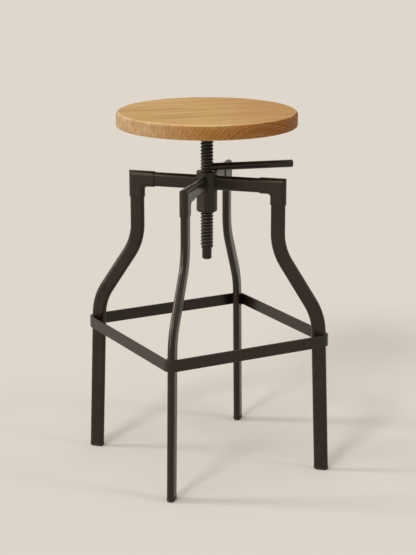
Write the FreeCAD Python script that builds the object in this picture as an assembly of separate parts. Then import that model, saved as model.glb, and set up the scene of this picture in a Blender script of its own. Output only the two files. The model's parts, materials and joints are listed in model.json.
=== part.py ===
import FreeCAD, Part
import math
import os

V = FreeCAD.Vector
origin = V(0, 0, 0)
up = V(0, 0, 1)

# Bar stool: a round wooden seat on a lift screw, carried by four bent legs. Sizes in millimetres.
# The origin is on the floor under the screw, +Z is up, and the footrest's sides run along X and Y.

# Seat board, with the seat at its lowest setting
seat_height = 750.0
seat_diameter = 370.0
seat_thickness = 30.0
seat_top_round = 7.5
seat_bottom_round = 3.0

# Seat plate, with the boss that the seat swivels on
plate_diameter = 190.0
plate_thickness = 4.0
plate_edge_round = 1.5
boss_diameter = 44.0
boss_height = 12.0

# Wood screws that hold the plate to the board
seat_screw_circle = 150.0
seat_screw_count = 4
seat_screw_start = 45.0
seat_screw_diameter = 4.5
seat_screw_length = 22.0
seat_screw_head_diameter = 9.0
seat_screw_head_height = 3.0
seat_screw_head_round = 1.8
seat_screw_slot_width = 1.2
seat_screw_slot_length = 5.0
seat_screw_slot_depth = 1.6

# Swivel stack on top of the screw
swivel_washer_diameter = 60.0
swivel_washer_thickness = 2.0
flange_diameter = 64.0
flange_thickness = 6.0
flange_edge_round = 1.2
spigot_diameter = 16.0
retaining_washer_diameter = 34.0
retaining_washer_thickness = 2.5
lock_nut_flats = 24.0
lock_nut_height = 10.0
spigot_proud = 1.5
pocket_room = 2.5

# Lift screw, with a round-crested right-hand thread
screw_exposed = 70.8
thread_pitch = 7.0
thread_crest_radius = 13.6
thread_root_radius = 11.3
thread_root_half_width = 2.9
thread_crest_half_width = 1.4
thread_crest_round = 0.9
thread_root_sink = 0.6
thread_below_hub = 78.2
thread_end_room = 1.0
tip_radius = 10.0
tip_length = 22.7
tip_chamfer = 2.0

# Turning bar through the screw, which is also the stop at the lowest setting
lever_diameter = 15.6
lever_reach = 182.0
lever_depth = 6.0
lever_end_round = 1.5
lever_angle = 74.2

# Hub and the threaded nut inside it
hub_diameter = 43.0
hub_height = 84.0
hub_lip = 5.0
hub_bottom_round = 3.5
hub_top_round = 1.0
nut_diameter = 34.0
nut_below_hub_top = 1.0

# Flat oval steel tube of the arms and legs
tube_long = 30.0
tube_short = 15.0
tube_wall = 1.5

# Arms and the elbows that join them to the legs
arm_drop = 23.5
elbow_wall = 1.7
elbow_reach = 55.3
elbow_inner_round = 6.0
elbow_crown_flat = 0.8
elbow_mouth_round = 0.5
socket_web = 2.0

# Headless screws up through the elbows into bushes in the arms
elbow_screw_diameter = 6.0
elbow_screw_recess = 0.8
elbow_screw_length = 12.0
elbow_screw_key = 3.0
elbow_screw_key_depth = 3.0
bush_diameter = 10.0
bush_height = 12.0
bush_setback = 0.5

# Legs, bent outwards from the elbows and down to a slight splay
leg_top_radius = 151.3
foot_radius = 250.4
leg_splay = 2.0
upper_bend_drop = 131.5
bend_drop = 134.4
bend_radius = 115.0

# Feet
foot_flange = 8.0
foot_lip = 0.4
foot_plug = 22.0
foot_round = 5.0

# Footrest, one flat bar bent round the legs
footrest_drop = 50.6
bar_height = 24.6
bar_thickness = 4.0
bar_corner_radius = 14.0
bar_edge_round = 0.8

# Clearances
press_gap = 0.03
running_gap = 0.05
socket_gap = 0.1
weld_gap = 0.05
swivel_gap = 0.1
washer_gap = 0.3
screw_hole_gap = 0.25
thread_gap = 0.3
screw_pass_gap = 0.8
stop_gap = 0.4
nut_cope_gap = 0.2

# Two measures closer than this are the same one
tolerance = 1e-4

corners = {"front_right": -45.0, "back_right": 45.0, "back_left": 135.0, "front_left": 225.0}

# Heights, worked out from the seat down
seat_bottom = seat_height - seat_thickness
plate_bottom = seat_bottom - plate_thickness
boss_bottom = plate_bottom - boss_height
swivel_washer_top = boss_bottom - swivel_gap
swivel_washer_bottom = swivel_washer_top - swivel_washer_thickness
flange_top = swivel_washer_bottom - swivel_gap
screw_shoulder = flange_top - flange_thickness
hub_top = screw_shoulder - screw_exposed
hub_bottom = hub_top - hub_height
thread_bottom = hub_bottom - thread_below_hub
tip_bottom = thread_bottom - tip_length
lever_height = hub_top + stop_gap + lever_diameter / 2
arm_height = hub_top - arm_drop
upper_bend_height = arm_height - upper_bend_drop
lower_bend_height = upper_bend_height - bend_drop
footrest_height = lower_bend_height - footrest_drop
retaining_washer_bottom = seat_bottom + swivel_gap
lock_nut_bottom = retaining_washer_bottom + retaining_washer_thickness
spigot_top = lock_nut_bottom + lock_nut_height + spigot_proud

# Widths of the elbow and of the tube's inside
elbow_half_long = tube_long / 2 + elbow_wall
elbow_half_short = tube_short / 2 + elbow_wall
bore_long = tube_long - 2 * tube_wall
bore_short = tube_short - 2 * tube_wall
elbow_seam = leg_top_radius + elbow_half_long - elbow_reach
elbow_bottom = arm_height + elbow_half_long - elbow_reach
arm_end = leg_top_radius - tube_long / 2 - socket_web
leg_top = arm_height - tube_long / 2 - socket_web


def around(shape, degrees):
    turned = shape.copy()
    turned.rotate(origin, up, degrees)
    return turned


def disc(radius, bottom, top):
    return Part.makeCylinder(radius, top - bottom, V(0, 0, bottom))


def flat_oval(long, short):
    """Outline with two straight sides and round ends, long side along X."""
    side = (long - short) / 2
    end = short / 2
    edges = [
        Part.LineSegment(V(-side, -end, 0), V(side, -end, 0)),
        Part.Arc(V(side, -end, 0), V(side + end, 0, 0), V(side, end, 0)),
        Part.LineSegment(V(side, end, 0), V(-side, end, 0)),
        Part.Arc(V(-side, end, 0), V(-side - end, 0, 0), V(-side, -end, 0)),
    ]
    return Part.Wire([edge.toShape() for edge in edges])


def oval_bar(long, short, length):
    return Part.Face(flat_oval(long, short)).extrude(V(0, 0, length))


def arm_bar(long, short, start, end):
    """Oval bar along +X at arm height, with its long side upright."""
    bar = oval_bar(long, short, end - start)
    bar.rotate(origin, V(0, 1, 0), 90)
    bar.translate(V(start, 0, arm_height))
    return bar


def same(one, other):
    return abs(one - other) < tolerance


def edges_at_height(shape, height):
    boxes = [(edge, edge.BoundBox) for edge in shape.Edges]
    return [edge for edge, box in boxes if same(box.ZMin, height) and same(box.ZMax, height)]


def hexagon(flats, bottom, top):
    corner = flats / math.sqrt(3)
    points = [V(corner, 0, bottom)]
    for step in range(1, 7):
        angle = math.radians(60 * step)
        points.append(V(corner * math.cos(angle), corner * math.sin(angle), bottom))
    return Part.Face(Part.makePolygon(points)).extrude(V(0, 0, top - bottom))


# Seat board and plate


def seat_screw_places():
    for index in range(seat_screw_count):
        angle = math.radians(seat_screw_start + index * 360 / seat_screw_count)
        yield V(seat_screw_circle / 2 * math.cos(angle), seat_screw_circle / 2 * math.sin(angle), 0)


def holes_at_screws(radius, bottom, top):
    hole = disc(radius, bottom, top)
    return Part.makeCompound([hole.translated(place) for place in seat_screw_places()])


def seat_board():
    board = disc(seat_diameter / 2, seat_bottom, seat_height)
    board = board.makeFillet(seat_top_round, edges_at_height(board, seat_height))
    board = board.makeFillet(seat_bottom_round, edges_at_height(board, seat_bottom))
    pocket_radius = max(retaining_washer_diameter / 2, lock_nut_flats / math.sqrt(3)) + pocket_room
    board = board.cut(disc(pocket_radius, seat_bottom, spigot_top + pocket_room))
    pilot_top = plate_bottom + seat_screw_length + press_gap
    return board.cut(holes_at_screws(seat_screw_diameter / 2 + press_gap, seat_bottom, pilot_top))


def seat_plate():
    plate = disc(plate_diameter / 2, plate_bottom, seat_bottom)
    plate = plate.makeFillet(plate_edge_round, edges_at_height(plate, plate_bottom))
    plate = plate.fuse(disc(boss_diameter / 2, boss_bottom, plate_bottom)).removeSplitter()
    plate = plate.cut(disc(spigot_diameter / 2 + running_gap, boss_bottom, seat_bottom))
    hole_radius = seat_screw_diameter / 2 + screw_hole_gap
    return plate.cut(holes_at_screws(hole_radius, plate_bottom, seat_bottom))


def seat_screws():
    head_bottom = plate_bottom - seat_screw_head_height
    head = disc(seat_screw_head_diameter / 2, head_bottom, plate_bottom)
    head = head.makeFillet(seat_screw_head_round, edges_at_height(head, head_bottom))
    slot = Part.makeBox(seat_screw_slot_length, seat_screw_slot_width, seat_screw_slot_depth)
    slot.translate(V(-seat_screw_slot_length / 2, -seat_screw_slot_width / 2, head_bottom))
    head = head.cut(slot).cut(around(slot, 90))
    shank_bottom = plate_bottom + seat_screw_length - seat_screw_diameter
    shank = disc(seat_screw_diameter / 2, plate_bottom, shank_bottom)
    point = Part.makeCone(seat_screw_diameter / 2, 0, seat_screw_diameter, V(0, 0, shank_bottom))
    screw = head.fuse([shank, point])
    return Part.makeCompound([screw.translated(place) for place in seat_screw_places()])


# Swivel stack


def swivel_washer():
    washer = disc(swivel_washer_diameter / 2, swivel_washer_bottom, swivel_washer_top)
    return washer.cut(disc(spigot_diameter / 2 + washer_gap, swivel_washer_bottom, swivel_washer_top))


def screw_flange():
    flange = disc(flange_diameter / 2, screw_shoulder, flange_top)
    flange = flange.makeFillet(flange_edge_round, edges_at_height(flange, screw_shoulder))
    return flange.cut(disc(spigot_diameter / 2 + press_gap, screw_shoulder, flange_top))


def retaining_washer():
    washer = disc(retaining_washer_diameter / 2, retaining_washer_bottom, lock_nut_bottom)
    return washer.cut(disc(spigot_diameter / 2 + press_gap, retaining_washer_bottom, lock_nut_bottom))


def lock_nut():
    top = lock_nut_bottom + lock_nut_height
    return hexagon(lock_nut_flats, lock_nut_bottom, top).cut(
        disc(spigot_diameter / 2 + press_gap, lock_nut_bottom, top)
    )


# Lift screw, turning bar and nut


def thread_ridge(bottom, half_turns, gap):
    """Helical ridge wound up from bottom, grown all round by gap to make the nut's groove."""
    root = thread_root_radius + gap
    crest = thread_crest_radius + gap
    foot = thread_root_half_width + gap
    head = thread_crest_half_width + gap
    inner = thread_root_radius - thread_root_sink
    shoulder = crest - thread_crest_round
    edges = [
        Part.LineSegment(V(inner, 0, -foot), V(root, 0, -foot)),
        Part.LineSegment(V(root, 0, -foot), V(shoulder, 0, -head)),
        Part.Arc(V(shoulder, 0, -head), V(crest, 0, 0), V(shoulder, 0, head)),
        Part.LineSegment(V(shoulder, 0, head), V(root, 0, foot)),
        Part.LineSegment(V(root, 0, foot), V(inner, 0, foot)),
        Part.LineSegment(V(inner, 0, foot), V(inner, 0, -foot)),
    ]
    outline = Part.Wire([edge.toShape() for edge in edges])
    half_turn = Part.makeHelix(thread_pitch, thread_pitch / 2, root).Edges[0]
    helix = []
    for step in range(half_turns):
        helix.append(around(half_turn, 180 * step).translated(V(0, 0, step * thread_pitch / 2)))
    sweep = Part.BRepOffsetAPI.MakePipeShell(Part.Wire(helix))
    sweep.setFrenetMode(True)
    sweep.add(outline, False, False)
    sweep.build()
    sweep.makeSolid()
    return sweep.shape().translated(V(0, 0, bottom))


thread_start = thread_bottom + thread_root_half_width + thread_end_room
thread_stop = screw_shoulder - thread_root_half_width - thread_end_room
thread_half_turns = math.floor((thread_stop - thread_start) / (thread_pitch / 2))


def lever_bar(radius, start, end):
    bar = Part.makeCylinder(radius, end - start, V(start, 0, lever_height), V(1, 0, 0))
    return around(bar, lever_angle)


def lift_screw():
    core = disc(thread_root_radius, thread_bottom, screw_shoulder)
    tip = disc(tip_radius, tip_bottom, thread_bottom)
    tip = tip.makeChamfer(tip_chamfer, edges_at_height(tip, tip_bottom))
    spigot = disc(spigot_diameter / 2, screw_shoulder, spigot_top)
    screw = core.fuse([tip, spigot]).fuse(thread_ridge(thread_start, thread_half_turns, 0))
    hole = lever_bar(lever_diameter / 2 + press_gap, -lever_depth - press_gap, lever_reach)
    return screw.cut(hole)


def turn_lever():
    lever = Part.makeCylinder(
        lever_diameter / 2, lever_reach + lever_depth, V(-lever_depth, 0, lever_height), V(1, 0, 0)
    )
    end = [edge for edge in lever.Edges if same(edge.BoundBox.XMin, lever_reach)]
    return around(lever.makeFillet(lever_end_round, end), lever_angle)


def lift_nut():
    bottom = hub_bottom + hub_lip + press_gap
    top = hub_top - nut_below_hub_top
    nut = disc(nut_diameter / 2, bottom, top)
    turns_below = math.floor((bottom - thread_start) / thread_pitch) - 1
    groove_start = thread_start + turns_below * thread_pitch
    half_turns = math.ceil((top + thread_pitch - groove_start) / (thread_pitch / 2))
    groove = thread_ridge(groove_start, half_turns, thread_gap)
    bore = disc(thread_root_radius + thread_gap, bottom - thread_pitch, top + thread_pitch)
    return nut.cut(bore.fuse(groove))


# Hub, arms and elbows


def hub():
    body = disc(hub_diameter / 2, hub_bottom, hub_top)
    body = body.makeFillet(hub_bottom_round, edges_at_height(body, hub_bottom))
    body = body.makeFillet(hub_top_round, edges_at_height(body, hub_top))
    body = body.cut(disc(nut_diameter / 2 + press_gap, hub_bottom + hub_lip, hub_top))
    body = body.cut(disc(thread_crest_radius + screw_pass_gap, hub_bottom, hub_top))
    socket = arm_bar(tube_long + 2 * socket_gap, tube_short + 2 * socket_gap, 0, hub_diameter)
    return body.cut([around(socket, degrees) for degrees in corners.values()])


crook_start = leg_top_radius - elbow_half_long - elbow_inner_round
elbow_screw_radius = (elbow_seam + crook_start) / 2
elbow_underside = arm_height - elbow_half_long
arm_underside = arm_height - tube_long / 2
bush_bottom = arm_underside + tube_wall + bush_setback


def at_elbow_screw(radius, bottom, top):
    return disc(radius, bottom, top).translated(V(elbow_screw_radius, 0, 0))


def arm():
    tube = arm_bar(tube_long, tube_short, 0, arm_end)
    tube = tube.cut(arm_bar(bore_long, bore_short, 0, arm_end))
    tube = tube.cut(disc(nut_diameter / 2 + nut_cope_gap, hub_bottom, hub_top))
    return tube.cut(at_elbow_screw(bush_diameter / 2 + press_gap, elbow_underside, arm_height))


def arm_bush():
    top = bush_bottom + bush_height
    bush = at_elbow_screw(bush_diameter / 2, bush_bottom, top)
    return bush.cut(at_elbow_screw(elbow_screw_diameter / 2 + press_gap, bush_bottom, top))


def elbow():
    outer = leg_top_radius + elbow_half_long
    inner = leg_top_radius - elbow_half_long
    top = arm_height + elbow_half_long
    outline = [
        (elbow_seam, top),
        (outer, top),
        (outer, elbow_bottom),
        (inner, elbow_bottom),
        (inner, elbow_underside),
        (elbow_seam, elbow_underside),
    ]
    points = [V(radius, -elbow_half_short, height) for radius, height in outline + outline[:1]]
    body = Part.Face(Part.makePolygon(points)).extrude(V(0, 2 * elbow_half_short, 0))
    at_underside = edges_at_height(body, elbow_underside)
    crook = [edge for edge in at_underside if same(edge.BoundBox.XMin, inner)]
    body = body.makeFillet(elbow_inner_round, crook)
    long_edges = []
    for edge in body.Edges:
        box = edge.BoundBox
        at_mouth = same(box.XMax, elbow_seam) or same(box.ZMax, elbow_bottom)
        if same(box.YLength, 0) and not at_mouth:
            long_edges.append(edge)
    body = body.makeFillet(elbow_half_short - elbow_crown_flat / 2, long_edges).Solids[0]
    body = body.makeFillet(elbow_mouth_round, edges_at_height(body, elbow_bottom))
    seam = [edge for edge in body.Edges if same(edge.BoundBox.XMax, elbow_seam)]
    body = body.makeFillet(elbow_mouth_round, seam)
    socket_long = tube_long + 2 * socket_gap
    socket_short = tube_short + 2 * socket_gap
    arm_socket = arm_bar(socket_long, socket_short, elbow_seam, arm_end + socket_gap)
    leg_socket = oval_bar(socket_long, socket_short, leg_top + socket_gap - elbow_bottom)
    leg_socket.translate(V(leg_top_radius, 0, elbow_bottom))
    screw_hole = at_elbow_screw(elbow_screw_diameter / 2 + screw_hole_gap, elbow_underside, arm_height)
    return body.cut([arm_socket, leg_socket, screw_hole])


def elbow_screw():
    bottom = elbow_underside + elbow_screw_recess
    screw = disc(elbow_screw_diameter / 2, bottom, bottom + elbow_screw_length)
    screw = screw.cut(hexagon(elbow_screw_key, bottom, bottom + elbow_screw_key_depth))
    return screw.translated(V(elbow_screw_radius, 0, 0))


# Legs and feet


def leg_radius(height):
    """Distance of the leg's middle from the screw's axis, below the lower bend."""
    return foot_radius - height * math.tan(math.radians(leg_splay))


def leg_path(bottom):
    points = [
        V(leg_top_radius, 0, leg_top),
        V(leg_top_radius, 0, upper_bend_height),
        V(leg_radius(lower_bend_height), 0, lower_bend_height),
        V(leg_radius(bottom), 0, bottom),
    ]
    edges = []
    start = points[0]
    for before, corner, after in zip(points, points[1:], points[2:]):
        arriving = (corner - before).normalize()
        leaving = (after - corner).normalize()
        half_turn = arriving.getAngle(leaving) / 2
        tangent = bend_radius * math.tan(half_turn)
        inward = (leaving - arriving).normalize()
        arc_start = corner - arriving * tangent
        arc_middle = corner + inward * (bend_radius / math.cos(half_turn) - bend_radius)
        arc_end = corner + leaving * tangent
        edges.append(Part.LineSegment(start, arc_start).toShape())
        edges.append(Part.Arc(arc_start, arc_middle, arc_end).toShape())
        start = arc_end
    edges.append(Part.LineSegment(start, points[-1]).toShape())
    return Part.Wire(edges)


def below(height):
    size = 4 * foot_radius
    return Part.makeBox(size, size, size, V(-size / 2, -size / 2, height - size))


def leg():
    path = leg_path(-foot_flange)
    place = V(leg_top_radius, 0, leg_top)
    outside = path.makePipeShell([flat_oval(tube_long, tube_short).translated(place)], True, False)
    inside = path.makePipeShell([flat_oval(bore_long, bore_short).translated(place)], True, False)
    return outside.cut(inside).cut(below(foot_flange))


def leaning_bar(long, short, bottom, top):
    """Oval bar along the lower leg, between two heights measured along it."""
    bar = oval_bar(long, short, top - bottom)
    bar.translate(V(0, 0, bottom))
    bar.rotate(origin, V(0, 1, 0), -leg_splay)
    bar.translate(V(foot_radius, 0, 0))
    return bar


def foot_cap():
    wide = 2 * foot_lip
    flange = leaning_bar(tube_long + wide, tube_short + wide, -foot_flange, 2 * foot_flange)
    flange = flange.cut(below(0))
    flange = flange.common(below(foot_flange))
    flange = flange.makeFillet(foot_round, edges_at_height(flange, 0))
    room = 2 * socket_gap
    plug = leaning_bar(bore_long - room, bore_short - room, foot_flange / 2, foot_flange + foot_plug)
    return flange.fuse(plug).removeSplitter()


# Footrest


def rounded_square(half_side, radius):
    flat = half_side - radius
    bulge = flat + radius / math.sqrt(2)
    edges = []
    for quarter in range(4):
        line = Part.LineSegment(V(half_side, -flat, 0), V(half_side, flat, 0)).toShape()
        arc = Part.Arc(V(half_side, flat, 0), V(bulge, bulge, 0), V(flat, half_side, 0)).toShape()
        edges += [around(line, 90 * quarter), around(arc, 90 * quarter)]
    return Part.Face(Part.Wire(edges))


def footrest_ring():
    bottom = footrest_height - bar_height / 2
    leg_outside = leg_radius(bottom) + tube_long / 2 / math.cos(math.radians(leg_splay))
    apex = leg_outside + weld_gap
    half_inside = (apex - bar_corner_radius) / math.sqrt(2) + bar_corner_radius
    outer = rounded_square(half_inside + bar_thickness, bar_corner_radius + bar_thickness)
    ring = outer.cut(rounded_square(half_inside, bar_corner_radius)).extrude(V(0, 0, bar_height))
    rims = edges_at_height(ring, 0) + edges_at_height(ring, bar_height)
    return ring.makeFillet(bar_edge_round, rims).translated(V(0, 0, bottom))


def one_at_each_corner(shape):
    return Part.makeCompound([around(shape, degrees) for degrees in corners.values()])


nodes = {
    "seat_board": seat_board(),
    "seat_plate": seat_plate(),
    "seat_screws": seat_screws(),
    "swivel_washer": swivel_washer(),
    "screw_flange": screw_flange(),
    "retaining_washer": retaining_washer(),
    "lock_nut": lock_nut(),
    "lift_screw": lift_screw(),
    "turn_lever": turn_lever(),
    "lift_nut": lift_nut(),
    "hub": hub(),
    "arm_bushes": one_at_each_corner(arm_bush()),
    "elbow_screws": one_at_each_corner(elbow_screw()),
    "footrest_ring": footrest_ring(),
}
for name, shape in {"arm": arm(), "elbow": elbow(), "leg": leg(), "foot_cap": foot_cap()}.items():
    for corner, degrees in corners.items():
        nodes[f"{name}_{corner}"] = around(shape, degrees)

os.makedirs("parts", exist_ok=True)
for name, shape in nodes.items():
    shape.exportStep(f"parts/{name}.step")
    print(name, len(shape.Solids), "valid" if shape.isValid() else "not valid", round(shape.Volume, 1))
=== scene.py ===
import bpy
import json
import math
from mathutils import Euler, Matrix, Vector


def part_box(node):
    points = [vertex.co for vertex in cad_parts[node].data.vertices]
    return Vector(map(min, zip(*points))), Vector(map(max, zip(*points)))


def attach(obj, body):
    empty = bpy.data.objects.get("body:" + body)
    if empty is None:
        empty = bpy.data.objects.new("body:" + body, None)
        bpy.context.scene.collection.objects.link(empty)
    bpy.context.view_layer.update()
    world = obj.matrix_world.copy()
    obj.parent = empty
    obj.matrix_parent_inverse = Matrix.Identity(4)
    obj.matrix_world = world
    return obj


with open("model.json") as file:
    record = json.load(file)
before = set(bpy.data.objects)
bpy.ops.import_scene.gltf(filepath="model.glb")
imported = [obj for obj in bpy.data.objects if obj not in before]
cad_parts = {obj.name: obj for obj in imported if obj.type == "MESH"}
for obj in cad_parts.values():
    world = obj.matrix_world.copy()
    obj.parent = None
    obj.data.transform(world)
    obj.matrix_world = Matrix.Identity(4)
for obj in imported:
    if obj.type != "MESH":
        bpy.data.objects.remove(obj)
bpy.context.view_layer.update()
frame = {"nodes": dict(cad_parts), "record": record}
cadNodes = frame["nodes"]
print("frame loaded,", len(cadNodes), "CAD nodes")

mm = 0.001
corners = {"front_right": -45, "back_right": 45, "back_left": 135, "front_left": 225}  # degrees from +X


def atCorners(piece):
    return [piece + "_" + corner for corner in corners]


# materials

def linear(hexCode):  # an sRGB hex colour in the linear values that shaders take
    parts = [int(hexCode[i:i + 2], 16) / 255 for i in (1, 3, 5)]
    return [p / 12.92 if p <= 0.04045 else ((p + 0.055) / 1.055) ** 2.4 for p in parts] + [1]


# a Mix of colours takes its share at 0 and its colours at 6 and 7, and gives output 2
def addNode(tree, kind, settings={}, values={}, links={}, stops=()):
    node = tree.nodes.new("ShaderNode" + kind)
    for name, value in settings.items():
        setattr(node, name, value)
    for socket, value in values.items():
        node.inputs[socket].default_value = value
    for socket, source in links.items():
        tree.links.new(source, node.inputs[socket])
    for index, (place, colour) in enumerate(stops):
        elements = node.color_ramp.elements
        stop = elements[index] if index < 2 else elements.new(place)
        stop.position = place
        stop.color = linear(colour)
    return node


def newMaterial(name, surface):
    material = bpy.data.materials.new(name)
    material.use_nodes = True
    shader = material.node_tree.nodes["Principled BSDF"]
    for socket, value in surface.items():
        shader.inputs[socket].default_value = value
    return material, material.node_tree, shader


oak = {
    "ior": 1.34,  # lacquer has about 1.5, lowered to match its dull shine here
    "roughness": (0.6, 0.75),  # of the lacquer, and of the open pores
    "grainTurn": 79,  # degrees from +X to the grain on the face
    "grainDip": 2,  # degrees that the grain leans out of the face

    # growth rings on the face, which cuts them flat
    "ringGap": 15 * mm,
    "ringBend": 12 * mm,  # how far a ring strays from a true circle
    "bendSpan": 60 * mm,  # and over what length, on the rim too
    "ringStretch": 0.12,  # along the grain, that length is drawn out eight times
    "pith": (60 * mm, 90 * mm),  # aside from the middle, and below the face
    "faceTones": [(0.34, "#BF9659"), (0.46, "#CBA76B"), (0.68, "#D2AF75")],

    # one darker growth line that wanders along the grain
    "lineAcross": 43 * mm,  # its place across the grain
    "lineWidth": 10 * mm,
    "lineWander": 8 * mm,
    "wanderSpan": 111 * mm,
    "lineEnd": (-70 * mm, 10 * mm),  # where it fades out along the grain
    "lineShare": 0.85,
    "lineTone": "#A97A3C",

    # the face is a little darker towards the right end of the grain
    "endFade": (-60 * mm, 160 * mm),
    "endTint": "#EEE3D3",

    # arcs on the rim, which cuts the rings across
    "rimTurn": -28.6,  # degrees from +X to the side where the arcs are seen square on
    "rimPith": (109 * mm, -65 * mm),  # the arcs' middle: to the right, and up from the board's bottom
    "rimGap": 3.3 * mm,
    "rimBend": 5 * mm,
    "rimFade": (-165 * mm, 0 * mm),  # the arcs grow clear from left to right
    "arcShare": 0.12,  # how much of them is left at the left
    "arcTones": [(0.33, "#784D1E"), (0.46, "#9A6A30"), (0.57, "#AC7D3F"), (0.69, "#C89D5D")],
    "rimTone": "#B19977",
    "rimShadeSpan": (10 * mm, 190 * mm),  # painted shade: the rim is drawn darker from here to there, towards the right
    "rimShadeTint": "#EAD39A",

    # upright rays on the rim, 0.2 mm wide, drawn wider so that they show
    "ray": (1.8 * mm, 14 * mm),
    "rayShare": 0.8,
    "rayTints": [(0.36, "#E3D4BD"), (0.6, "#FFFFFF")],

    # where the face's grain gives way to the arcs
    "edgeBlend": (3.2 * mm, 0.8 * mm),  # below the top: only arcs, and only face
    "edgeSlope": 0.004,  # the arcs reach higher to the right
    "underBlend": (0.5 * mm, 2.5 * mm),  # above the bottom: only face, and only arcs

    # painted highlight on the round of the edge: paler than the wood, greyer at the left and more honey at
    # the right
    "highlightDepth": 3.6 * mm,  # down from the top
    "highlightBandStops": [(0.1, "#000000"), (0.5, "#CBCBCB"), (0.88, "#CBCBCB"), (1.0, "#000000")],
    "highlightColours": [(0.0, "#B5AA9B"), (0.36, "#E6D3B2"), (0.55, "#E6D3B2"), (0.9, "#F5C983")],
    "highlightCover": [(0.0, "#FFFFFF"), (0.36, "#BFBFBF"), (0.55, "#BFBFBF"), (0.9, "#FFFFFF")],

    # broad bands of lighter and darker wood, along and across the grain
    "streak": (300 * mm, 30 * mm),
    "streakShare": 0.9,
    "streakTints": [(0.32, "#DFCDB4"), (0.64, "#FFFFFF")],

    # open pores, 0.3 mm wide, drawn wider so that they show
    "pore": (14 * mm, 1 * mm),
    "poreCut": (0.6, 0.75),  # more of them when lower
    "poreShare": 0.4,
    "poreTone": "#845A2A",
    "poreDepth": 0.15 * mm,
    "poreBump": 0.25,
}


def growthRings(tree, place, gap, bend):  # uneven bands round a pith along X, bent out of true
    flat = addNode(tree, "Mapping", values={"Scale": (0, 1, 1)}, links={"Vector": place}).outputs[0]
    distance = addNode(tree, "VectorMath", {"operation": "LENGTH"}, links={0: flat}).outputs["Value"]
    slow = addNode(tree, "TexNoise", values={"Scale": 1 / oak["bendSpan"], "Detail": 2.0},
                   links={"Vector": place}).outputs["Fac"]
    shift = addNode(tree, "MapRange", values={"To Min": -bend, "To Max": bend},
                    links={"Value": slow}).outputs[0]
    bent = addNode(tree, "Math", {"operation": "ADD"}, links={0: distance, 1: shift}).outputs[0]
    count = addNode(tree, "Math", {"operation": "DIVIDE"}, {1: gap / 2}, {0: bent}).outputs[0]
    return addNode(tree, "TexNoise", {"noise_dimensions": "1D"},
                   {"Scale": 1.0, "Detail": 2.0, "Roughness": 0.55}, {"W": count}).outputs["Fac"]


def faceWood(tree, along):
    ringPlace = addNode(tree, "Mapping", values={
        "Location": (0, *oak["pith"]), "Scale": (oak["ringStretch"], 1, 1)},
        links={"Vector": along}).outputs[0]
    rings = growthRings(tree, ringPlace, oak["ringGap"], oak["ringBend"])
    wood = addNode(tree, "ValToRGB", links={"Fac": rings}, stops=oak["faceTones"]).outputs[0]
    # the darker line
    axes = addNode(tree, "SeparateXYZ", links={"Vector": along}).outputs
    wander = addNode(tree, "TexNoise", values={"Scale": 1 / oak["wanderSpan"], "Detail": 1.0},
                     links={"Vector": along}).outputs["Fac"]
    offset = addNode(tree, "MapRange", values={"To Min": -oak["lineWander"], "To Max": oak["lineWander"]},
                     links={"Value": wander}).outputs[0]
    aside = addNode(tree, "Math", {"operation": "SUBTRACT"}, {1: oak["lineAcross"]},
                    {0: axes["Y"]}).outputs[0]
    wandering = addNode(tree, "Math", {"operation": "ADD"}, links={0: aside, 1: offset}).outputs[0]
    away = addNode(tree, "Math", {"operation": "ABSOLUTE"}, links={0: wandering}).outputs[0]
    line = addNode(tree, "MapRange", {"interpolation_type": "SMOOTHSTEP"},
                   {"From Max": oak["lineWidth"], "To Min": oak["lineShare"], "To Max": 0.0},
                   {"Value": away}).outputs[0]
    fading = addNode(tree, "MapRange", {"interpolation_type": "SMOOTHSTEP"},
                     {"From Min": oak["lineEnd"][0], "From Max": oak["lineEnd"][1],
                      "To Min": 1.0, "To Max": 0.0}, {"Value": axes["X"]}).outputs[0]
    lineMask = addNode(tree, "Math", {"operation": "MULTIPLY"}, links={0: line, 1: fading}).outputs[0]
    wood = addNode(tree, "Mix", {"data_type": "RGBA"}, {7: linear(oak["lineTone"])},
                   {0: lineMask, 6: wood}).outputs[2]
    # the darker end
    nearEnd = addNode(tree, "MapRange", {"interpolation_type": "SMOOTHSTEP"},
                      {"From Min": oak["endFade"][0], "From Max": oak["endFade"][1]},
                      {"Value": axes["X"]}).outputs[0]
    return addNode(tree, "Mix", {"data_type": "RGBA", "blend_type": "MULTIPLY"},
                   {7: linear(oak["endTint"])}, {0: nearEnd, 6: wood}).outputs[2]


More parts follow.
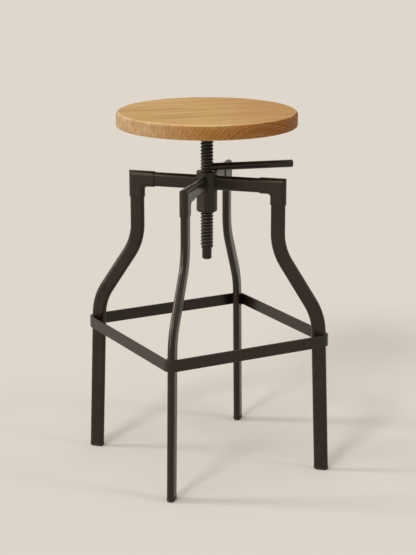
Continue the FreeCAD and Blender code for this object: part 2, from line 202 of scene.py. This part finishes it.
def rimWood(tree, place, rimPlace, rightward):
    pithAside = oak["rimPith"][0]
    rings = growthRings(tree, rimPlace, oak["rimGap"], oak["rimBend"])
    arcs = addNode(tree, "ValToRGB", links={"Fac": rings}, stops=oak["arcTones"]).outputs[0]
    clear = addNode(tree, "MapRange", {"interpolation_type": "SMOOTHSTEP"},
                    {"From Min": oak["rimFade"][0] - pithAside, "From Max": oak["rimFade"][1] - pithAside,
                     "To Min": oak["arcShare"], "To Max": 1.0}, {"Value": rightward}).outputs[0]
    rim = addNode(tree, "Mix", {"data_type": "RGBA"}, {6: linear(oak["rimTone"])},
                  {0: clear, 7: arcs}).outputs[2]
    # painted shade: the rim drawn darker towards the right
    darker = addNode(tree, "MapRange", {"interpolation_type": "SMOOTHSTEP"},
                     {"From Min": oak["rimShadeSpan"][0] - pithAside, "From Max": oak["rimShadeSpan"][1] - pithAside},
                     {"Value": rightward}).outputs[0]
    rim = addNode(tree, "Mix", {"data_type": "RGBA", "blend_type": "MULTIPLY"},
                  {7: linear(oak["rimShadeTint"])}, {0: darker, 6: rim}).outputs[2]
    # the rays
    rayWide, rayTall = oak["ray"]
    rayPlace = addNode(tree, "Mapping", values={"Scale": (1 / rayWide, 1 / rayWide, 1 / rayTall)},
                       links={"Vector": place}).outputs[0]
    rays = addNode(tree, "TexNoise", values={"Scale": 1.0, "Detail": 1.0},
                   links={"Vector": rayPlace}).outputs["Fac"]
    rayTint = addNode(tree, "ValToRGB", links={"Fac": rays}, stops=oak["rayTints"]).outputs[0]
    return addNode(tree, "Mix", {"data_type": "RGBA", "blend_type": "MULTIPLY"}, {0: oak["rayShare"]},
                   {6: rim, 7: rayTint}).outputs[2]


def lacqueredOak():
    # flat-sawn oak, sanded and lacquered: honey brown with a satin shine, long soft growth lines
    # on the face, darker arcs on the rim where the saw crossed the rings, and short open pores
    seatLow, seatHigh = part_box("seat_board")
    material, tree, shader = newMaterial("lacqueredOak", {"IOR": oak["ior"]})
    place = addNode(tree, "TexCoord").outputs["Object"]
    height = addNode(tree, "SeparateXYZ", links={"Vector": place}).outputs["Z"]
    # x along the grain and y across it, from the middle of the face
    grain = Euler((0, math.radians(oak["grainDip"]), math.radians(-oak["grainTurn"])))
    middle = grain.to_matrix() @ Vector((0, 0, seatHigh.z))
    along = addNode(tree, "Mapping", values={"Rotation": grain, "Location": -middle},
                    links={"Vector": place}).outputs[0]
    # y to the right along the rim, from the arcs' middle
    pithAside, pithUp = oak["rimPith"]
    rimPlace = addNode(tree, "Mapping", values={
        "Location": (0, -pithAside, -seatLow.z - pithUp),
        "Rotation": (0, 0, math.radians(-oak["rimTurn"]))}, links={"Vector": place}).outputs[0]
    rightward = addNode(tree, "SeparateXYZ", links={"Vector": rimPlace}).outputs["Y"]
    # the face's grain on top and underneath, and arcs between
    sloped = addNode(tree, "Math", {"operation": "MULTIPLY_ADD"}, {1: -oak["edgeSlope"]},
                     {0: rightward, 2: height}).outputs[0]
    faceEdge = seatHigh.z + oak["edgeSlope"] * pithAside
    onFace = addNode(tree, "MapRange", {"interpolation_type": "SMOOTHSTEP"},
                     {"From Min": faceEdge - oak["edgeBlend"][0], "From Max": faceEdge - oak["edgeBlend"][1]},
                     {"Value": sloped}).outputs[0]
    underneath = addNode(tree, "MapRange", {"interpolation_type": "SMOOTHSTEP"},
                         {"From Min": seatLow.z + oak["underBlend"][0],
                          "From Max": seatLow.z + oak["underBlend"][1],
                          "To Min": 1.0, "To Max": 0.0}, {"Value": height}).outputs[0]
    faces = addNode(tree, "Math", {"operation": "MAXIMUM"}, links={0: onFace, 1: underneath}).outputs[0]
    wood = addNode(tree, "Mix", {"data_type": "RGBA"}, links={
        0: faces, 6: rimWood(tree, place, rimPlace, rightward), 7: faceWood(tree, along)}).outputs[2]
    # painted highlight: paler on the round of the edge
    upEdge = addNode(tree, "MapRange", values={
        "From Min": seatHigh.z - oak["highlightDepth"], "From Max": seatHigh.z},
        links={"Value": height}).outputs[0]
    highlightBand = addNode(tree, "ValToRGB", links={"Fac": upEdge}, stops=oak["highlightBandStops"]).outputs[0]
    alongEdge = addNode(tree, "MapRange", values={
        "From Min": seatLow.x - pithAside, "From Max": seatHigh.x - pithAside},
        links={"Value": rightward}).outputs[0]
    # the painted highlight's colour and share along the edge
    highlightColour = addNode(tree, "ValToRGB", links={"Fac": alongEdge}, stops=oak["highlightColours"]).outputs[0]
    highlightCover = addNode(tree, "ValToRGB", links={"Fac": alongEdge}, stops=oak["highlightCover"]).outputs[0]
    highlightShare = addNode(tree, "Math", {"operation": "MULTIPLY"}, links={0: highlightBand, 1: highlightCover}).outputs[0]
    highlightMask = addNode(tree, "Math", {"operation": "MULTIPLY"}, links={0: highlightShare, 1: onFace}).outputs[0]
    wood = addNode(tree, "Mix", {"data_type": "RGBA"},
                   links={0: highlightMask, 6: wood, 7: highlightColour}).outputs[2]
    # broad bands of lighter and darker wood along the grain
    streakLong, streakWide = oak["streak"]
    streakPlace = addNode(tree, "Mapping", values={
        "Scale": (1 / streakLong, 1 / streakWide, 1 / streakWide)}, links={"Vector": along}).outputs[0]
    streaks = addNode(tree, "TexNoise", values={"Scale": 1.0, "Detail": 4.0, "Roughness": 0.62},
                      links={"Vector": streakPlace}).outputs["Fac"]
    streakTint = addNode(tree, "ValToRGB", links={"Fac": streaks}, stops=oak["streakTints"]).outputs[0]
    wood = addNode(tree, "Mix", {"data_type": "RGBA", "blend_type": "MULTIPLY"}, {0: oak["streakShare"]},
                   {6: wood, 7: streakTint}).outputs[2]
    # open pores, darker and rougher than the wood round them
    poreLong, poreWide = oak["pore"]
    porePlace = addNode(tree, "Mapping", values={
        "Scale": (1 / poreLong, 1 / poreWide, 1 / poreWide)}, links={"Vector": along}).outputs[0]
    pores = addNode(tree, "TexNoise", values={"Scale": 1.0, "Detail": 2.0},
                    links={"Vector": porePlace}).outputs["Fac"]
    poreMask = addNode(tree, "MapRange", values={
        "From Min": oak["poreCut"][0], "From Max": oak["poreCut"][1], "To Max": oak["poreShare"]},
        links={"Value": pores}).outputs[0]
    wood = addNode(tree, "Mix", {"data_type": "RGBA"}, {7: linear(oak["poreTone"])},
                   {0: poreMask, 6: wood}).outputs[2]
    tree.links.new(wood, shader.inputs["Base Color"])
    shine = addNode(tree, "MapRange", values={
        "From Max": oak["poreShare"], "To Min": oak["roughness"][0], "To Max": oak["roughness"][1]},
        links={"Value": poreMask}).outputs[0]
    tree.links.new(shine, shader.inputs["Roughness"])
    bump = addNode(tree, "Bump", {"invert": True},
                   {"Strength": oak["poreBump"], "Distance": oak["poreDepth"]},
                   {"Height": poreMask}).outputs[0]
    tree.links.new(bump, shader.inputs["Normal"])
    return material


warmShine = {"IOR": 1.48, "Specular Tint": linear("#F3EAE0")}
oilyShine = {"IOR": 1.5, "Specular Tint": linear("#E8DFD4")}
cloudSize = 35 * mm  # faint lighter and duller patches in a coat
skinBump = 0.12  # strength of the bump
coats = {
    # polyester powder baked on steel tube: satin black with a fine orange peel
    "powder": {"name": "blackPowderCoat", "colours": ("#140D07", "#19110A"), "roughness": (0.25, 0.33),
               "grit": 1.6 * mm, "depth": 0.05 * mm, "surface": warmShine},
    # the same powder on sand-cast elbows: a coarser, deeper peel
    "cast": {"name": "castPowderCoat", "colours": ("#140D07", "#1A120B"), "roughness": (0.27, 0.37),
             "grit": 2.4 * mm, "depth": 0.09 * mm, "surface": warmShine},
    # the same powder on a turned tube: duller, with a broad soft shine
    "hub": {"name": "turnedPowderCoat", "colours": ("#140D07", "#1A120B"), "roughness": (0.4, 0.5),
            "grit": 2.0 * mm, "depth": 0.06 * mm, "surface": warmShine},
    # blackened and oiled steel: near black, smooth and wet
    "thread": {"name": "oiledBlackSteel", "colours": ("#0C0805", "#110B07"), "roughness": (0.18, 0.26),
               "grit": 1.2 * mm, "depth": 0.04 * mm, "surface": oilyShine},
    # black oxide on small steel screws: a thin even black with little shine
    "oxide": {"name": "blackOxideScrews", "colours": ("#140F0B", "#1B1410"), "roughness": (0.35, 0.45),
              "grit": 1.0 * mm, "depth": 0.03 * mm, "surface": warmShine},
    # moulded polypropylene: matt black, with the mould's 0.2 mm texture drawn coarser so that it shows
    "plastic": {"name": "mouldedPolypropylene", "colours": ("#17110C", "#1D1610"), "roughness": (0.5, 0.62),
                "grit": 1.2 * mm, "depth": 0.06 * mm, "surface": warmShine},
    # natural nylon, cut from sheet: ivory, smooth and waxy
    "nylon": {"name": "naturalNylon", "colours": ("#D6D1C4", "#E0DCD0"), "roughness": (0.45, 0.55),
              "grit": 2.0 * mm, "depth": 0.03 * mm, "surface": warmShine},
}


def coatedSurface(coat):  # a faintly cloudy colour and shine on a fine bumpy skin
    material, tree, shader = newMaterial(coat["name"], coat["surface"])
    place = addNode(tree, "TexCoord").outputs["Object"]
    clouds = addNode(tree, "TexNoise", values={"Scale": 1 / cloudSize, "Detail": 3.0},
                     links={"Vector": place}).outputs["Fac"]
    colour = addNode(tree, "ValToRGB", links={"Fac": clouds},
                     stops=[(0.35, coat["colours"][0]), (0.65, coat["colours"][1])]).outputs[0]
    tree.links.new(colour, shader.inputs["Base Color"])
    shine = addNode(tree, "MapRange", values={
        "From Min": 0.3, "From Max": 0.7, "To Min": coat["roughness"][0], "To Max": coat["roughness"][1]},
        links={"Value": clouds}).outputs[0]
    tree.links.new(shine, shader.inputs["Roughness"])
    skin = addNode(tree, "TexNoise", values={"Scale": 1 / coat["grit"], "Detail": 2.0},
                   links={"Vector": place}).outputs["Fac"]
    bump = addNode(tree, "Bump", values={"Strength": skinBump, "Distance": coat["depth"]},
                   links={"Height": skin}).outputs[0]
    tree.links.new(bump, shader.inputs["Normal"])
    return material


# pale thread crests: wear where the nut rubs, and a painted highlight of glints
crestWearAndGlint = {
    "depth": (0.7 * mm, 0.1 * mm),  # below the crest: where the pale crests start, and where they are full
    "colour": "#3B3732",
}


def wearAndGlintOnCrests(material):  # paler on the thread's crests: worn where the nut rubs, and a painted highlight of glints on them
    screwLow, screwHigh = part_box("lift_screw")
    crest = (screwHigh.x - screwLow.x) / 2
    tree = material.node_tree
    baseColour = tree.nodes["Principled BSDF"].inputs["Base Color"]
    place = addNode(tree, "TexCoord").outputs["Object"]
    flat = addNode(tree, "Mapping", values={"Scale": (1, 1, 0)}, links={"Vector": place}).outputs[0]
    radius = addNode(tree, "VectorMath", {"operation": "LENGTH"}, links={0: flat}).outputs["Value"]
    # painted highlight and wear: the crests drawn paler
    wornAndGlinting = addNode(tree, "MapRange", {"interpolation_type": "SMOOTHSTEP"},
                   {"From Min": crest - crestWearAndGlint["depth"][0], "From Max": crest - crestWearAndGlint["depth"][1]},
                   {"Value": radius}).outputs[0]
    colour = addNode(tree, "Mix", {"data_type": "RGBA"}, {7: linear(crestWearAndGlint["colour"])},
                     {0: wornAndGlinting, 6: baseColour.links[0].from_socket}).outputs[2]
    tree.links.new(colour, baseColour)


lineLength = 40 * mm  # of a tool line
metals = {
    # zinc plate on steel: pale grey, dull, with the tool lines of the steel below
    "zinc": {"name": "zincPlate", "colours": ("#B5B4AE", "#C9C8C2"), "roughness": (0.3, 0.45),
             "lineGap": 1.5 * mm},
    # machined steel: a darker grey with closer lines
    "steel": {"name": "machinedSteel", "colours": ("#8F8D89", "#A5A39E"), "roughness": (0.3, 0.45),
              "lineGap": 0.8 * mm},
}


def bareMetal(metal):  # tool lines round the piece, 0.1 mm apart, drawn wider so that they show
    material, tree, shader = newMaterial(metal["name"], {"Metallic": 1.0})
    place = addNode(tree, "TexCoord").outputs["Object"]
    linePlace = addNode(tree, "Mapping", values={
        "Scale": (1 / lineLength, 1 / lineLength, 1 / metal["lineGap"])}, links={"Vector": place}).outputs[0]
    lines = addNode(tree, "TexNoise", values={"Scale": 1.0, "Detail": 2.0},
                    links={"Vector": linePlace}).outputs["Fac"]
    colour = addNode(tree, "ValToRGB", links={"Fac": lines},
                     stops=[(0.3, metal["colours"][0]), (0.7, metal["colours"][1])]).outputs[0]
    tree.links.new(colour, shader.inputs["Base Color"])
    shine = addNode(tree, "MapRange", values={
        "To Min": metal["roughness"][0], "To Max": metal["roughness"][1]}, links={"Value": lines}).outputs[0]
    tree.links.new(shine, shader.inputs["Roughness"])
    return material


finishes = {"oak": lacqueredOak()}
finishes.update({finish: coatedSurface(coat) for finish, coat in coats.items()})
finishes.update({finish: bareMetal(metal) for finish, metal in metals.items()})
wearAndGlintOnCrests(finishes["thread"])
nodeFinishes = {
    "oak": ["seat_board"],
    "powder": ["seat_plate", "screw_flange", "turn_lever", "footrest_ring",
               *atCorners("arm"), *atCorners("leg")],
    "cast": atCorners("elbow"),
    "hub": ["hub"],
    "thread": ["lift_screw"],
    "oxide": ["elbow_screws"],
    "plastic": atCorners("foot_cap"),
    "nylon": ["swivel_washer"],
    "zinc": ["seat_screws", "retaining_washer", "lock_nut"],
    "steel": ["lift_nut", "arm_bushes"],
}
for finish, nodeNames in nodeFinishes.items():
    for nodeName in nodeNames:
        cadNodes[nodeName].material_slots[0].material = finishes[finish]
print("materials on", sum(len(nodeNames) for nodeNames in nodeFinishes.values()), "CAD nodes")


# weld beads

hair = 0.01 * mm  # less than any step between two points of a bead


def pickVertices(piece, test):  # leaves edit mode on, with only these vertices selected
    bpy.ops.object.mode_set(mode="EDIT")
    bpy.ops.mesh.select_mode(type="VERT")
    bpy.ops.mesh.select_all(action="DESELECT")
    bpy.ops.object.mode_set(mode="OBJECT")
    for vertex in piece.data.vertices:
        vertex.select = test(vertex.co)
    bpy.ops.object.mode_set(mode="EDIT")


def laidBead(bead, weld):  # a rippled round bead of weld metal along a line of edges
    bpy.ops.object.convert(target="CURVE")
    bead.data.bevel_depth = weld["width"] / 2
    bead.data.bevel_resolution = weld["roundness"]
    bead.data.use_fill_caps = True
    for index, point in enumerate(bead.data.splines[0].points):
        point.radius = 1 - weld["ripple"] * (index % weld["wave"]) / (weld["wave"] - 1)
    bpy.ops.object.convert(target="MESH")
    bpy.ops.object.shade_smooth()
    bead.data.materials.append(finishes["powder"])


def copiedToCorners(piece, name):
    for corner, degrees in corners.items():
        bpy.ops.object.select_all(action="DESELECT")
        piece.select_set(True)
        bpy.context.view_layer.objects.active = piece
        bpy.ops.object.duplicate()
        copy = bpy.context.object
        copy.name = name + "_" + corner
        copy.rotation_euler.z = math.radians(degrees)
        bpy.ops.object.transform_apply(location=True, rotation=True, scale=True)
        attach(copy, "frame")
    bpy.ops.object.select_all(action="DESELECT")
    piece.select_set(True)
    bpy.ops.object.delete()


armWeld = {
    "width": 3.2 * mm,
    "ripple": 0.2,  # share of the width that a ripple takes off
    "wave": 4,  # points along each ripple
    "points": 96,  # round the tube
    "roundness": 3,
    "tubeWidth": 15 * mm,
    "standOff": 0.3 * mm,  # from the tube to the middle of the bead
    "hubSides": 256,  # of the round that the bead is laid on
}
hubLow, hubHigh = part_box("hub")
armLow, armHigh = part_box("arm_front_right")
hubRadius = (hubHigh.x - hubLow.x) / 2
armHeight = (armHigh.z + armLow.z) / 2
armFlat = (armHigh.z - armLow.z - armWeld["tubeWidth"]) / 2
bpy.ops.object.select_all(action="DESELECT")
bpy.ops.mesh.primitive_cylinder_add(vertices=armWeld["hubSides"], radius=hubRadius,
                                    depth=hubHigh.z - hubLow.z,
                                    location=(0, 0, (hubHigh.z + hubLow.z) / 2))
hubSurface = bpy.context.object
bpy.ops.mesh.primitive_circle_add(vertices=armWeld["points"], location=(2 * hubRadius, 0, armHeight),
                                  radius=armWeld["tubeWidth"] / 2 + armWeld["standOff"],
                                  rotation=(0, math.pi / 2, 0))
armBead = bpy.context.object
bpy.ops.object.transform_apply(location=True, rotation=True, scale=True)
for side in (1, -1):  # the round outline is drawn out to the tube's flat oval
    pickVertices(armBead, lambda place: side * (place.z - armHeight) > hair)
    bpy.ops.transform.translate(value=(0, 0, side * armFlat))
    bpy.ops.object.mode_set(mode="OBJECT")
wrap = armBead.modifiers.new("ontoHub", "SHRINKWRAP")
wrap.target = hubSurface
wrap.wrap_method = "PROJECT"
wrap.use_project_x = True
wrap.use_positive_direction = False
wrap.use_negative_direction = True
bpy.ops.object.modifier_apply(modifier=wrap.name)
bpy.ops.object.select_all(action="DESELECT")
hubSurface.select_set(True)
bpy.ops.object.delete()
armBead.select_set(True)
bpy.context.view_layer.objects.active = armBead
laidBead(armBead, armWeld)
copiedToCorners(armBead, "arm_weld")

footrestWeld = {
    "width": 3 * mm,
    "ripple": 0.2,
    "wave": 4,
    "points": 96,
    "roundness": 3,
    "tubeWidth": 15 * mm,
    "tubeLength": 30 * mm,
    "standOff": 0.8 * mm,
    "legSplay": 2,  # degrees from upright
    "reach": 62,  # degrees each way round the leg's outer end
}
ringLow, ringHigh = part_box("footrest_ring")
footPlace = frame["record"]["mounts"][0]["pos_m"]
footRadius = math.hypot(footPlace[0], footPlace[1])
nearest = math.cos(math.radians(footrestWeld["reach"])) * footrestWeld["tubeWidth"] / 2
for level, beadName in ((ringHigh.z, "footrest_weld_top"), (ringLow.z, "footrest_weld_bottom")):
    legRadius = footRadius - level * math.tan(math.radians(footrestWeld["legSplay"]))
    endMiddle = legRadius + (footrestWeld["tubeLength"] - footrestWeld["tubeWidth"]) / 2
    bpy.ops.object.select_all(action="DESELECT")
    bpy.ops.mesh.primitive_circle_add(vertices=footrestWeld["points"], location=(endMiddle, 0, level),
                                      radius=footrestWeld["tubeWidth"] / 2 + footrestWeld["standOff"])
    ringBead = bpy.context.object
    bpy.ops.object.transform_apply(location=True, rotation=True, scale=True)
    pickVertices(ringBead, lambda place: place.x - endMiddle < nearest)
    bpy.ops.mesh.delete(type="VERT")
    bpy.ops.object.mode_set(mode="OBJECT")
    laidBead(ringBead, footrestWeld)
    copiedToCorners(ringBead, beadName)
print("weld beads laid at", len(corners), "corners")


# floor, light and camera

room = {
    "floorRadius": 40,  # metres
    "floorSides": 128,
    "floorColour": "#DDD9D3",
    "skyColour": "#F8F5F0",
    "skyStrength": 0.42,
}
suns = [  # in degrees: turn is round from +X, rise is up from level, across is how wide the lamp looks
    {"name": "keySun", "turn": 238, "rise": 20, "strength": 1.6, "across": 14, "colour": "#FFF9F2"},
    {"name": "lowSun", "turn": 280, "rise": 8, "strength": 1.0, "across": 26, "colour": "#FFF9F2"},
    {"name": "frontSun", "turn": 304, "rise": 38, "strength": 0.95, "across": 12, "colour": "#FFFBF6"},
    {"name": "topSun", "turn": 300, "rise": 75, "strength": 0.5, "across": 50, "colour": "#FFFBF6"},
    {"name": "rightSun", "turn": 40, "rise": 35, "strength": 0.35, "across": 12, "colour": "#FFF9F2"},
]
bpy.ops.object.select_all(action="DESELECT")
bpy.ops.mesh.primitive_circle_add(vertices=room["floorSides"], radius=room["floorRadius"], fill_type="NGON")
floor = bpy.context.object
floor.name = "floor"
floor.data.materials.append(newMaterial("paleFloor", {
    "Base Color": linear(room["floorColour"]), "Roughness": 1.0, "Specular IOR Level": 0.0})[0])

skyLight = [part * room["skyStrength"] for part in linear(room["skyColour"])]
floorLight = list(skyLight)
for lamp in suns:
    bpy.ops.object.light_add(type="SUN", rotation=(
        math.radians(90 - lamp["rise"]), 0, math.radians(lamp["turn"] + 90)))
    sun = bpy.context.object
    sun.name = lamp["name"]
    sun.data.energy = lamp["strength"]
    sun.data.angle = math.radians(lamp["across"])
    sun.data.color = linear(lamp["colour"])[:3]
    share = lamp["strength"] * math.sin(math.radians(lamp["rise"])) / math.pi
    floorLight = [light + share * part for light, part in zip(floorLight, linear(lamp["colour"]))]

# the backdrop is as bright as the lit floor, so that no edge shows between them
backdrop = [light * part for light, part in zip(floorLight, linear(room["floorColour"]))]
world = bpy.data.worlds.new("softSky")
world.use_nodes = True
bpy.context.scene.world = world
rayKinds = addNode(world.node_tree, "LightPath").outputs
shown = addNode(world.node_tree, "Math", {"operation": "MAXIMUM"},
                links={0: rayKinds["Is Camera Ray"], 1: rayKinds["Is Glossy Ray"]}).outputs[0]
seen = addNode(world.node_tree, "Mix", {"data_type": "RGBA"}, {6: skyLight, 7: backdrop},
               {0: shown}).outputs[2]
world.node_tree.links.new(seen, world.node_tree.nodes["Background"].inputs["Color"])

view = {
    "place": (2.87336, -1.56726, 1.2721),
    "turn": 61.35,  # degrees round from looking along +Y
    "down": 14.94,  # degrees below level
    "lens": 105.308,
    "sensor": 36,
}
bpy.ops.object.camera_add(location=view["place"],
                          rotation=(math.radians(90 - view["down"]), 0, math.radians(view["turn"])))
camera = bpy.context.object
camera.data.lens = view["lens"]
camera.data.sensor_width = view["sensor"]
bpy.context.scene.camera = camera
bpy.context.scene.view_settings.view_transform = "Standard"
print("floor, lamps and camera set")
